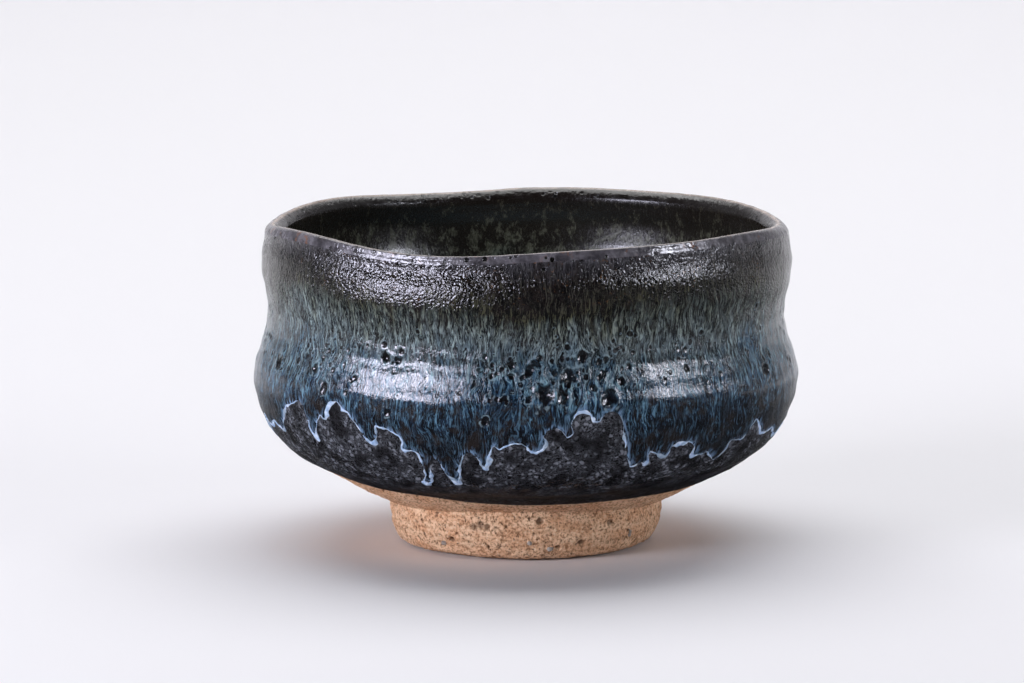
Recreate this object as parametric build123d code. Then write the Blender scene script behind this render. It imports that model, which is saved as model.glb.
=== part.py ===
from build123d import *
from math import atan2, cos, degrees, radians, sin
import os

# Matcha bowl (chawan). Millimetres, +Z up, origin at the centre of the foot's resting plane.
# Angles are in degrees about +Z: 0 is the bowl's front (-Y) and +90 is its right side (+X).

# ---- driving dimensions -----------------------------------------------------------------
BASE_COAT = 0.5            # black glaze on the clay, each side
RUNNING_COAT = 0.5         # blue glaze over the black

FOOT_TOP_R = 31.2          # foot ring, where it meets the body
FOOT_BASE_R = 28.4         # outer edge of the face it rests on
FOOT_RIM_R = 22.4          # inner edge of that face
RECESS_R = 20.4            # recess inside the ring
RECESS_DEPTH = 6.8
BOSS_R = 9.0               # low cone in the recess, left by the trimming tool
BOSS_HEIGHT = 1.2
LUTE_Z = 12.0              # top of the ring's blank, inside the body's clay

WELL_Z = 14.2              # clay surface at the middle of the well
WELL_R = 10.0
GLAZE_LINE_Z = 17.6        # bare clay below, glaze above, taken round the bowl
GLAZE_LINE_TILT = (2.4, 1.0)    # the line dips to the front and to the right
LIP_BAND_Z = 71.6          # the browner roll of glaze starts here
RUN_TOP_Z = 70.0           # upper edge of the running glaze outside
INNER_RUN_TOP_Z = 62.0     # and inside

# The clay's section as (radius, height): foot, underside, belly, waist, shoulder, lip, well.
CLAY_SECTION = (
    (23.5, RECESS_DEPTH), (28.0, 8.0), (33.2, 10.6), (37.9, 12.7), (43.2, 15.9),
    (50.0, 20.0), (56.2, 24.6), (59.5, 29.2), (61.2, 34.0), (62.0, 39.0), (60.9, 44.2),
    (59.1, 49.2), (58.5, 54.0), (59.2, 59.0), (60.2, 64.0), (59.8, 69.0), (59.1, 72.2),
    (57.9, 73.8), (57.1, 74.0), (56.5, 73.3), (56.4, 70.0), (56.7, 65.0), (56.0, 60.0),
    (54.9, 55.0), (55.6, 49.0), (57.2, 43.0), (57.9, 38.0), (56.6, 32.0), (53.0, 26.6),
    (46.5, 21.6), (38.0, 18.0), (28.0, 15.8), (18.0, 14.6), (WELL_R, WELL_Z),
)

# The foot ring's outer side, from its resting face up.
FOOT_SIDE = ((FOOT_BASE_R, 0.0), (29.6, 1.6), (30.8, 4.5), (31.4, 7.6), (FOOT_TOP_R, 9.8))

# The lip isn't level: each wave is (count round the bowl, height, angle of a crest).
LIP_WAVES = (
    (1, 0.24, 94), (2, 0.18, 39), (3, 0.45, 40), (4, 0.42, 40), (5, 0.27, 12), (6, 0.27, -3),
)
WAVE_START_Z = 30.0        # the waves fade out from the lip down to here

# Ends of the glaze runs: (angle, height of the tip, half width).
RUNS = (
    (-75, 29.3, 1.7), (-65, 29.2, 1.5), (-51, 30.3, 1.4), (-34, 31.4, 1.7), (-24, 21.6, 2.1),
    (-16, 22.2, 2.1), (-9, 25.8, 1.8), (1, 30.1, 1.5), (8, 33.5, 1.3), (21, 33.2, 1.1),
    (27, 26.3, 2.0), (39, 27.1, 1.7), (48, 25.4, 2.0), (63, 29.4, 1.7), (77, 26.4, 2.0),
    (92, 28.4, 1.7), (107, 24.6, 2.1), (121, 30.2, 1.5), (137, 26.2, 2.0), (152, 31.6, 1.5),
    (168, 24.4, 2.1), (184, 28.8, 1.7), (199, 31.0, 1.5), (214, 25.2, 2.1), (230, 29.6, 1.7),
    (245, 27.4, 1.8), (262, 30.6, 1.5), (275, 25.8, 2.0),
)
BAND_Z = 36.0              # the running glaze is unbroken above this
RUN_LOW_Z = 18.0           # no run reaches this low
RUN_FLARE = 1.6            # a run's width where it leaves the band, over its bead's width
BEAD_DEPTH = 1.1           # how far a bead stands out of the black glaze
BEAD_STRETCH = 1.5         # a bead's length over its width
SEAM_TURN = (90, 0, 90)    # turns a ball's seam and poles to where no cut meets them

# Stones in the ring's outer side: (angle, height, radius).
STONES = (
    (-62, 7.0, 0.8), (-38, 3.4, 0.7), (-14, 8.2, 0.9), (2, 4.8, 0.8), (10, 3.3, 1.0),
    (27, 7.2, 0.7), (50, 5.0, 1.0), (83, 6.4, 0.8), (118, 3.8, 0.9), (150, 7.0, 0.8),
    (183, 4.6, 1.0), (214, 7.2, 0.7), (243, 3.6, 0.9), (276, 6.2, 0.8),
)
STONE_SINK = 0.6           # share of its radius by which a stone's centre is below the clay

STATIONS = 46              # stations along the section in each loft
LOOP_POINTS = 30           # points round each station
INNER_SPLIT_R = 38.0       # above this height, this cylinder is between the underside
INNER_SPLIT_Z = 13.5       # and the well, so it tells the outer coat from the inner one
BELLY_SHARE = 0.27         # share of the section's length from its start to the belly
HALVINGS = 30              # steps of a search by halves
CLEAR_R = 90.0             # a radius beyond the bowl
CLEAR_Z = 100.0


SECTION = Spline(*[(r, 0, z) for r, z in CLAY_SECTION])


def polar(radius, angle, height):
    """The point at an angle from the front, seen from above."""
    return Vector(radius * sin(radians(angle)), -radius * cos(radians(angle)), height)


def waves(terms, angle):
    """The sum of a set of (count, amplitude, crest angle) waves at one angle."""
    return sum(height * cos(radians(count * (angle - crest))) for count, height, crest in terms)


def lift(angle, height):
    """How far the uneven lip raises a point of the skin at this height."""
    share = max(0.0, (height - WAVE_START_Z) / (LIP_BAND_Z - WAVE_START_Z))
    return waves(LIP_WAVES, angle) * share**2


def closed_loop(points):
    """A smooth closed loop whose points are evenly spaced along its parameter."""
    even = [i / len(points) for i in range(len(points) + 1)]
    return Wire([Edge.make_spline(points, periodic=True, parameters=even)])


def skin_loop(radius, height, uneven):
    """The loop round the bowl through one station of its section."""
    angles = [360 * i / LOOP_POINTS for i in range(LOOP_POINTS)]
    rises = [lift(angle, height) if uneven else 0.0 for angle in angles]
    return closed_loop([polar(radius, a, height + rise) for a, rise in zip(angles, rises)])


def section_point(share, coat):
    """Radius and height at a share of the section's length, moved out by a coat."""
    at = SECTION.position_at(share)
    along = SECTION.tangent_at(share)
    if share in (0, 1):
        return at.X, at.Z + (coat if share else -coat)
    return at.X + coat * along.Z, at.Z - coat * along.X


def coated_body(coat):
    """The thrown body grown by a coat on every side, as one solid."""
    loops = []
    for i in range(STATIONS + 1):
        radius, height = section_point(i / STATIONS, coat)
        loops.append(skin_loop(radius, height, uneven=0 < i < STATIONS))
    return Solid.make_loft(loops)


def slab(low, high):
    """Everything between two heights."""
    return Pos(0, 0, low) * extrude(Circle(CLEAR_R), high - low)


def outermost(shape):
    return max(shape.solids(), key=lambda solid: solid.bounding_box().size.X)


def largest(shape):
    return max(shape.solids(), key=lambda solid: solid.volume)


def innermost(shape):
    return min(shape.solids(), key=lambda solid: solid.bounding_box().size.X)


# ---- clay -------------------------------------------------------------------------------
def clay_bowl(body):
    """The thrown body, with the low cone that trimming leaves under its floor."""
    boss = Pos(0, 0, RECESS_DEPTH) * Rot(180, 0, 0) * Cone(
        BOSS_R, BOSS_R / 3, BOSS_HEIGHT, align=(Align.CENTER, Align.CENTER, Align.MIN)
    )
    return body + boss


def foot_blank():
    """The trimmed ring before its top is shaped to the body it is luted under."""
    side = Spline(*[(r, 0, z) for r, z in FOOT_SIDE])
    rest = Polyline(
        (FOOT_TOP_R, 0, FOOT_SIDE[-1][1]), (FOOT_TOP_R - 1, 0, LUTE_Z), (RECESS_R, 0, LUTE_Z),
        (RECESS_R, 0, RECESS_DEPTH - 1), (FOOT_RIM_R, 0, 0), (FOOT_BASE_R, 0, 0),
    )
    return revolve(make_face([side, rest]), Axis.Z)


def foot_stones():
    """The stones that trimming left standing in the ring's outer side."""
    side = Spline(*[(r, 0, z) for r, z in FOOT_SIDE])
    stones = []
    for angle, height, radius in STONES:
        share = next(i / 100 for i in range(101) if side.position_at(i / 100).Z >= height)
        centre_r = side.position_at(share).X - STONE_SINK * radius
        seam_inwards = Rot(0, 0, angle + 90)
        stones.append(Pos(*polar(centre_r, angle, height)) * seam_inwards * Sphere(radius))
    return stones


# ---- glaze ------------------------------------------------------------------------------
def base_coats(clay, glazed):
    """The black coat as its three pieces: outside, inside and the roll over the lip."""
    shell = glazed - clay
    below_line = Pos(0, 0, GLAZE_LINE_Z) * Rot(*GLAZE_LINE_TILT, 0) * slab(-CLEAR_Z, 0)
    inner_space = Pos(0, 0, INNER_SPLIT_Z) * extrude(Circle(INNER_SPLIT_R), CLEAR_Z)
    walls = (shell & slab(0, LIP_BAND_Z)) - (below_line - inner_space)
    lip = shell & slab(LIP_BAND_Z, CLEAR_Z)
    return outermost(walls), innermost(walls), outermost(lip)


def run_neck(tip, half_width):
    """Height at which a run's bead ends and its narrow neck begins."""
    return tip + half_width * BEAD_STRETCH


def run_space(angle, tip, half_width):
    """The space of one run, from its bead up to the unbroken band."""
    neck = run_neck(tip, half_width)
    mouth = half_width * RUN_FLARE
    outline = Polyline(
        (-half_width, neck), (half_width, neck), (mouth, BAND_Z), (-mouth, BAND_Z), close=True
    )
    facing = Plane(polar(INNER_SPLIT_R, angle, 0), polar(1, angle + 90, 0), polar(1, angle, 0))
    return extrude(facing * make_face(outline), CLEAR_R - INNER_SPLIT_R)


def running_coats(glazed, full):
    """The running glaze: the band outside with its runs, and the coat in the lower well."""
    shell = full - glazed
    outside = outermost(shell & slab(RUN_LOW_Z, RUN_TOP_Z))
    lower = outside & slab(RUN_LOW_Z, BAND_Z)
    runs = [largest(lower & run_space(*run)) for run in RUNS]
    inside = innermost(shell & slab(0, INNER_RUN_TOP_Z))
    return [outside & slab(BAND_Z, RUN_TOP_Z), *runs], inside


def skin_radius(height, coat):
    """Radius of the underside or belly, under this coat, at this height."""
    low, high = 0.0, BELLY_SHARE
    for _ in range(HALVINGS):
        middle = (low + high) / 2
        if section_point(middle, coat)[1] < height:
            low = middle
        else:
            high = middle
    return section_point(low, coat)[0]


def blue_drips(glazed):
    """The thick beads in which the runs end."""
    backing = glazed & slab(RUN_LOW_Z, BAND_Z)
    beads = []
    for angle, tip, half_width in RUNS:
        neck = run_neck(tip, half_width)
        radius = skin_radius(neck, BASE_COAT)
        lean = degrees(atan2(radius - skin_radius(tip, BASE_COAT), neck - tip))
        ball = Rot(*SEAM_TURN) * Sphere(1)
        bead = scale(ball, (half_width, BEAD_DEPTH, half_width * BEAD_STRETCH))
        place = Pos(*polar(radius, angle, neck)) * Rot(0, 0, angle) * Rot(lean, 0, 0)
        beads.append(largest((place * bead & slab(0, neck)) - backing))
    return beads


# ---- the whole bowl ---------------------------------------------------------------------
def bowl_nodes():
    """Every node's shape, by its name."""
    clay = coated_body(0)
    glazed = coated_body(BASE_COAT)
    full = coated_body(BASE_COAT + RUNNING_COAT)
    stones = foot_stones()
    ring = foot_blank() - clay
    for stone in stones:
        ring -= stone
    base_outside, base_inside, lip = base_coats(clay, glazed)
    runs_outside, run_inside = running_coats(glazed, full)
    return {
        "clay_bowl": clay_bowl(clay),
        "foot_ring": ring,
        "foot_stones": Compound(stones),
        "base_glaze_outside": base_outside,
        "base_glaze_inside": base_inside,
        "lip_glaze": lip,
        "running_glaze_outside": Compound(runs_outside),
        "running_glaze_inside": run_inside,
        "blue_drips": Compound(blue_drips(glazed)),
    }


os.makedirs("parts", exist_ok=True)
for node, shape in bowl_nodes().items():
    export_step(shape, f"parts/{node}.step")
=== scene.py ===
from math import cos, pi, radians, sin

import bmesh
import bpy
import numpy as np
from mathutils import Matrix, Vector
from mathutils.bvhtree import BVHTree


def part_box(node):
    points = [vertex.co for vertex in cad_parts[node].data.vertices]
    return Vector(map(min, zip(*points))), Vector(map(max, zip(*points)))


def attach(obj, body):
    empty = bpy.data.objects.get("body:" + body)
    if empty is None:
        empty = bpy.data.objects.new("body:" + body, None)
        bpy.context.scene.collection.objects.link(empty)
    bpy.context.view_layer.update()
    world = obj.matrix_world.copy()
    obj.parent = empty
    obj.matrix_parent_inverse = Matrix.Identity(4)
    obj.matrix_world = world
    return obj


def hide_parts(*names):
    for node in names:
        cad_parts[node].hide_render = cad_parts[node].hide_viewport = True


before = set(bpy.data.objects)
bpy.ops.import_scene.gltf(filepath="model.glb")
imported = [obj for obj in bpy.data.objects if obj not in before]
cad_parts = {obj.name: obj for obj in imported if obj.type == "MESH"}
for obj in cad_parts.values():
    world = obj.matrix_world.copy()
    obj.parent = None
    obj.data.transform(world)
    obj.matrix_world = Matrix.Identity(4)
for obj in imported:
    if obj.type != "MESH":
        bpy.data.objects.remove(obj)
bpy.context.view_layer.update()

# Lengths below are in millimetres, apart from the sections headed "in metres"; a piece's mesh
# gets metres at the end. Angles are degrees round the bowl: 0 is its front (-Y), +90 its right
# side (+X). A variable called turn holds an angle in radians.
MM = 0.001


def box_mm(node):
    """A CAD node's lowest and highest corner, in millimetres."""
    low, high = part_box(node)
    return np.array(low) / MM, np.array(high) / MM


def frame_points(node):
    """A CAD node's points, in millimetres, and the angle of each round the bowl."""
    co = np.array([v.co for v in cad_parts[node].data.vertices]) / MM
    return co, np.degrees(np.arctan2(co[:, 0], -co[:, 1]))


def frame_tree(node):
    """A CAD node's surface for ray casts, in millimetres."""
    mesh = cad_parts[node].data
    return BVHTree.FromPolygons([v.co / MM for v in mesh.vertices],
                                [list(p.vertices) for p in mesh.polygons])


def turned(angle, start):
    """Degrees round the bowl from one angle to another, from -180 to 180."""
    return (angle - start + 180) % 360 - 180


def round_bowl(radius, turn, height):
    """Points at a radius and a height, turned by radians round the bowl from its front."""
    places = np.broadcast_arrays(radius * np.sin(turn), -radius * np.cos(turn), height)
    return np.stack(places, -1)


def new_object(name, data):
    """An object in the scene that shows a mesh, a light or a camera."""
    made = bpy.data.objects.new(name, data)
    bpy.context.scene.collection.objects.link(made)
    return made


# ---- what the frame says ----------------------------------------------------------------
CLAY_LOW, CLAY_HIGH = box_mm("clay_bowl")
LIP_LOW, LIP_HIGH = box_mm("lip_glaze")
FOOT_HIGH = box_mm("foot_ring")[1]
INNER_RUN_HIGH = box_mm("running_glaze_inside")[1]
BASE_COAT = LIP_HIGH[2] - CLAY_HIGH[2]
BELLY_R = CLAY_HIGH[0]
WAVE_START_Z = 0.4 * CLAY_HIGH[2]      # the lip's unevenness fades out down to here

# ---- camera, in metres --------------------------------------------------------------------
CAMERA_PLACE = Vector((0.0, -1.150, 0.220))
CAMERA_AIM = Vector((-0.00315, 0.0, 0.0461))
CAMERA_LENS = 177.2        # this and the sensor are in millimetres
SENSOR_WIDTH = 36


def make_camera():
    camera = new_object("camera", bpy.data.cameras.new("camera"))
    camera.data.lens = CAMERA_LENS
    camera.data.sensor_width = SENSOR_WIDTH
    camera.data.clip_end = 50
    camera.location = CAMERA_PLACE
    camera.rotation_euler = (CAMERA_AIM - CAMERA_PLACE).to_track_quat("-Z", "Y").to_euler()
    bpy.context.scene.camera = camera


# ---- noise ------------------------------------------------------------------------------
def lattice(ix, iy, iz, seed):
    """A repeatable random value from -1 to 1 at each whole-number place."""
    mixed = (ix * 374761393 + iy * 668265263 + iz * 2246822519 + seed * 3266489917) & 0xFFFFFFFF
    mixed = ((mixed ^ (mixed >> 13)) * 1274126177) & 0xFFFFFFFF
    return ((mixed ^ (mixed >> 16)) & 0xFFFF) / 32767.5 - 1.0


def noise(points, wavelength, seed):
    """Smooth noise from -1 to 1 at an array of points."""
    scaled = points / wavelength
    cell = np.floor(scaled).astype(np.int64)
    t = scaled - cell
    t = t * t * (3 - 2 * t)
    total = 0.0
    for dx in (0, 1):
        for dy in (0, 1):
            for dz in (0, 1):
                weight = (
                    (t[..., 0] if dx else 1 - t[..., 0])
                    * (t[..., 1] if dy else 1 - t[..., 1])
                    * (t[..., 2] if dz else 1 - t[..., 2])
                )
                corner = lattice(cell[..., 0] + dx, cell[..., 1] + dy, cell[..., 2] + dz, seed)
                total = total + weight * corner
    return total


def layered_noise(points, wavelength, seed, layers=3):
    """Noise with finer, weaker noise laid over it."""
    total = 0.0
    for layer in range(layers):
        total = total + noise(points, wavelength / 2**layer, seed + layer) / 2**layer
    return total


def smooth_step(value, low, high):
    t = np.clip((value - low) / (high - low), 0, 1)
    return t * t * (3 - 2 * t)


# ---- the glaze line, read from the frame ---------------------------------------------------
def glaze_line_terms():
    """The glaze line as a mean height and one wave round the bowl, (mean, cosine, sine)."""
    co, angle = frame_points("base_glaze_outside")
    middles = np.arange(0, 360, 15)
    lowest = [co[np.abs(turned(angle, a)) < 8, 2].min() for a in middles]
    turn = np.radians(middles)
    waves = np.stack([np.ones(len(turn)), np.cos(turn), np.sin(turn)], -1)
    return np.linalg.lstsq(waves, np.array(lowest), rcond=None)[0]


LINE_TERMS = glaze_line_terms()


def glaze_line(angle):
    """Height of the line below which the clay is bare."""
    mean, cosine, sine = LINE_TERMS
    return mean + cosine * np.cos(np.radians(angle)) + sine * np.sin(np.radians(angle))


GLAZE_LINE_Z = float(glaze_line(np.arange(360.0)).min())


# ---- the skin: the clay's section and its uneven lip, read from the frame -----------------
def fade_share(height):
    """How much of the lip's unevenness is felt at a height."""
    return np.clip((height - WAVE_START_Z) / (LIP_LOW[2] - WAVE_START_Z), 0, None) ** 2


class Lip:
    """The lip's uneven height, as a few waves round the bowl."""

    WAVES = 7
    BINS = 72

    def __init__(self):
        co, angle = frame_points("lip_glaze")
        tops = [co[np.abs(turned(angle, a)) < 5, 2].max()
                for a in np.arange(self.BINS) * 360 / self.BINS]
        self.crest = float(np.mean(tops))
        self.terms = np.fft.rfft(np.array(tops) - self.crest)[: self.WAVES] / self.BINS

    def lift(self, angle):
        turn = np.radians(angle)
        total = 0.0
        for count in range(1, self.WAVES):
            total = total + 2 * (self.terms[count] * np.exp(1j * count * turn)).real
        return total


class Skin:
    """The clay's half section as (radius, height) along its length, from under the foot
    recess out over the belly and the lip to the middle of the well."""

    STEP = 0.2
    SIDES = 24             # rays round the bowl for each point of the section
    FAR = 150.0            # rays from outside start here
    WITHIN_Z = 40.0        # rays down into the well start here
    UNDER_R = 33.0         # the underside is read out to this radius
    WELL_R = 43.0          # the well is read in from this radius
    WELL_Z = 21.0          # and the wall above it down to this height

    def __init__(self, lip):
        self.lip = lip
        self.tree = frame_tree("clay_bowl")
        top = lip.crest - BASE_COAT
        under = [(r, self.vertical(r, -self.FAR, 1)) for r in np.arange(0.5, self.UNDER_R, 0.5)]
        heights = np.arange(under[-1][1] + 0.5, top - 0.3, 0.4)
        outside = [(self.level(z, self.FAR, -1), z) for z in heights]
        inside = [(self.level(z, 0, 1), z) for z in heights[::-1] if z > self.WELL_Z]
        well = [(r, self.vertical(r, self.WITHIN_Z, -1)) for r in np.arange(self.WELL_R, 0, -0.5)]
        crest = ((outside[-1][0] + inside[0][0]) / 2, top)
        outline = np.array([(0, under[0][1]), *under, *outside, crest, *inside, *well,
                            (0, well[-1][1])])
        self.resample(outline)

    def level(self, height, start, way):
        """Mean radius at which level rays meet the clay."""
        found = []
        for angle in np.arange(self.SIDES) * 2 * pi / self.SIDES:
            out = Vector((sin(angle), -cos(angle), 0))
            lift = float(self.lip.lift(np.degrees(angle)) * fade_share(height))
            hit = self.tree.ray_cast(out * start + Vector((0, 0, height + lift)), out * way)[0]
            if hit is not None:
                found.append(hit.xy.length)
        return float(np.mean(found))

    def vertical(self, radius, start, way):
        """Mean height at which upright rays meet the clay."""
        found = []
        for angle in np.arange(self.SIDES) * 2 * pi / self.SIDES:
            place = Vector((sin(angle) * radius, -cos(angle) * radius, start))
            found.append(self.tree.ray_cast(place, Vector((0, 0, way)))[0].z)
        return float(np.mean(found))

    def resample(self, outline):
        """Even steps along a smoothed outline; the tight roll of the lip is smoothed less."""
        length = np.concatenate([[0], np.cumsum(np.hypot(*np.diff(outline, axis=0).T))])
        self.s = np.arange(0, length[-1], self.STEP)
        even = np.stack([np.interp(self.s, length, outline[:, i]) for i in (0, 1)], -1)
        near_lip = smooth_step(even[:, 1], LIP_LOW[2] - 2, LIP_LOW[2])[:, None]
        soft = blurred(even, 1.6 / self.STEP)
        crisp = blurred(even, 0.4 / self.STEP)
        line = soft * (1 - near_lip) + crisp * near_lip
        along = np.gradient(line, axis=0)
        along /= np.linalg.norm(along, axis=1)[:, None]
        self.r, self.z = line.T
        self.nr, self.nz = along[:, 1], -along[:, 0]
        self.top = self.s[np.argmax(self.z)]

    def outer_s(self, height):
        """Length along the section to a height on the outside."""
        part = (self.s < self.top) & (self.z > CLAY_LOW[2] + 1.5)
        return np.interp(height, self.z[part], self.s[part])

    def inner_s(self, height):
        """Length along the section to a height on the inside."""
        part = self.s > self.top
        return float(np.interp(-height, -self.z[part], self.s[part]))


def blurred(line, sigma):
    """A line of points smoothed along its length, its two ends kept."""
    reach = int(3 * sigma) + 1
    weights = np.exp(-0.5 * (np.arange(-reach, reach + 1) / sigma) ** 2)
    weights /= weights.sum()
    ends = [2 * line[0] - line[reach:0:-1], line, 2 * line[-1] - line[-2:-reach - 2:-1]]
    padded = np.concatenate(ends)
    return np.stack([np.convolve(padded[:, i], weights, "valid") for i in (0, 1)], -1)


LIP_RAISE = 0.8            # the glaze is a little fuller on the lip than in the frame
LEDGE_RISE = 2.3           # the underside is trimmed higher round the front of the foot
LEDGE_HALF_ANGLE = 52.0
LEDGE_R = (27, 31, 41, 50)     # that trimming grows between the first two and fades out between
                               # the last two of these radii


def ledge_share(angle):
    """How much of the front's higher trimming is felt at an angle."""
    return np.exp(-((turned(angle, 0) / LEDGE_HALF_ANGLE) ** 2))


# Where the wall leans inwards under the lip, as (angle, reach round, how far).
LEANS = ((-30, 24, 1.0), (24, 22, 0.3))
LEAN_Z = (61.0, 72.0)
LIP_THIN = 1.1             # the wall thins to the lip by this much at the front and back
LIP_THIN_Z = (62.0, 72.4, 73.6)


def lean(angle):
    """How far inwards the lip stands at an angle."""
    total = 0.0
    for at, reach, inwards in LEANS:
        total = total + inwards * np.exp(-((turned(angle, at) / reach) ** 2))
    return total


class Grid:
    """Places on the skin: rows along the section, columns round the bowl."""

    def __init__(self, skin, rows, columns):
        self.rows, self.columns = np.asarray(rows, float), columns
        self.angle = np.arange(columns) * 360 / columns - 180
        pick = lambda values: np.interp(self.rows, skin.s, values)[:, None]
        self.r, self.z = pick(skin.r), pick(skin.z)
        self.nr, self.nz = pick(skin.nr), pick(skin.nz)
        self.turn = np.radians(self.angle)[None, :]
        self.s = self.rows[:, None] + 0 * self.turn
        grow, full, fade, end = LEDGE_R
        under = smooth_step(self.r, grow, full) * (1 - smooth_step(self.r, fade, end))
        under = LEDGE_RISE * under * smooth_step(-self.nz, 0.0, 0.3)
        self.lift = (skin.lip.lift(self.angle) + LIP_RAISE)[None, :] * fade_share(self.z)
        start, full, end = LIP_THIN_Z
        thin = smooth_step(self.z, start, full) * (1 - smooth_step(self.z, full, end))
        thin = LIP_THIN * thin * (self.rows[:, None] < skin.top)
        self.lean = lean(self.angle)[None, :] * smooth_step(self.z, *LEAN_Z)
        self.lean = self.lean + thin * (1 - np.sin(self.turn) ** 4)
        self.lift = self.lift + under * ledge_share(self.angle)[None, :]
        self.flat = self.at(0)

    def at(self, height):
        """Points at a height above the clay, along the skin's normal."""
        radius = self.r + height * self.nr - self.lean
        level = self.z + height * self.nz + self.lift
        return round_bowl(radius, self.turn, level)

    def window(self, angle, s, reach):
        """Index arrays and local offsets (across, along) of the places near one point."""
        row = np.where(np.abs(self.rows - s) < reach)[0]
        if len(row) == 0:
            return None
        radius = max(float(self.r[row].mean()), 1.0)
        turn = np.radians(turned(self.angle, angle))
        column = np.where(np.abs(turn) * radius < reach)[0]
        across = (turn[column] * radius)[None, :]
        along = (self.rows[row] - s)[:, None]
        return np.ix_(row, column), across + 0 * along, along + 0 * across


# ---- meshes -----------------------------------------------------------------------------
def quads(rows, columns):
    """The faces of a grid that closes round the bowl."""
    i = np.arange(rows - 1)[:, None] * columns
    j = np.arange(columns)[None, :]
    k = (j + 1) % columns
    return np.stack([i + j, i + k, i + columns + k, i + columns + j], -1).reshape(-1, 4)


def make_mesh(name, points, faces):
    """A mesh from points in millimetres and arrays of faces, one array for each face size."""
    mesh = bpy.data.meshes.new(name)
    points = np.asarray(points, float).reshape(-1, 3)
    corners = np.concatenate([f.ravel() for f in faces])
    sizes = np.concatenate([np.full(len(f), f.shape[1]) for f in faces])
    mesh.vertices.add(len(points))
    mesh.vertices.foreach_set("co", (points * MM).astype(np.float32).ravel())
    mesh.loops.add(len(corners))
    mesh.loops.foreach_set("vertex_index", corners.astype(np.int32))
    mesh.polygons.add(len(sizes))
    mesh.polygons.foreach_set("loop_start", (np.cumsum(sizes) - sizes).astype(np.int32))
    mesh.update(calc_edges=True)
    mesh.validate()
    mesh.shade_smooth()
    return mesh


def make_piece(name, nodes, mesh, material, attributes=None):
    """A piece in the row frame that stands for CAD nodes and rides on the bowl's one body."""
    for key, values in (attributes or {}).items():
        kind = "FLOAT_VECTOR" if values.shape[-1] == 3 else "FLOAT"
        layer = mesh.attributes.new(key, kind, "POINT")
        field = "vector" if kind == "FLOAT_VECTOR" else "value"
        layer.data.foreach_set(field, values.astype(np.float32).ravel())
    mesh.materials.append(material)
    piece = new_object(name, mesh)
    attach(piece, "root")
    if nodes:
        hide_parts(*nodes)
    return piece


# ---- shape of the thrown and trimmed skin -----------------------------------------------
FACETS = 19                # flats left by the trimming knife round the lower belly
FACET_Z = (19.5, 31.0)
FACET_DEPTH = (0.2, 0.5)
RING_PITCH = 5.2           # throwing rings
RING_HEIGHT = 0.07


def facet_cuts(grid, skin):
    """How far the knife's flats lie below the skin."""
    cut = np.zeros(grid.s.shape)
    draw = np.random.default_rng(21)
    base = grid.flat
    for i in range(FACETS):
        angle = -180 + 360 * (i + draw.uniform(-0.3, 0.3)) / FACETS
        height = draw.uniform(*FACET_Z)
        depth = draw.uniform(*FACET_DEPTH)
        at = skin.outer_s(height)
        place = grid.window(angle, at, 16)
        if place is None:
            continue
        cells, across, along = place
        lines = (skin.r, skin.z, skin.nr, skin.nz)
        r, z, nr, nz = (float(np.interp(at, skin.s, line)) for line in lines)
        turn = radians(angle)
        out = np.array([nr * sin(turn), -nr * cos(turn), nz])
        centre = np.array([r * sin(turn), -r * cos(turn), z]) - depth * out
        above = (base[cells] - centre) @ out
        keep = 1 - smooth_step(np.hypot(across, along), 8, 15)
        cut[cells] = np.maximum(cut[cells], np.clip(above, 0, None) * keep)
    return cut


def thrown_shape(grid, skin):
    """Height of the real clay and glaze surface above the even skin."""
    place = grid.flat
    slow = 0.42 * noise(place, 34, 3) + 0.16 * noise(place, 13, 4)
    belly = smooth_step(grid.z, GLAZE_LINE_Z + 8, GLAZE_LINE_Z + 16)
    inside = smooth_step(grid.s, skin.top, skin.top + 4)
    ring = np.sin(2 * pi * grid.s / RING_PITCH + grid.turn)
    ring = RING_HEIGHT * belly * (1 - 0.7 * inside) * ring
    keep_lip = 1 - 0.5 * smooth_step(grid.z, LIP_LOW[2] - 4, LIP_HIGH[2])
    keep_foot = smooth_step(grid.z, CLAY_LOW[2] + 2, CLAY_LOW[2] + 9)
    return (slow * keep_lip + ring) * keep_foot - facet_cuts(grid, skin)


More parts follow.
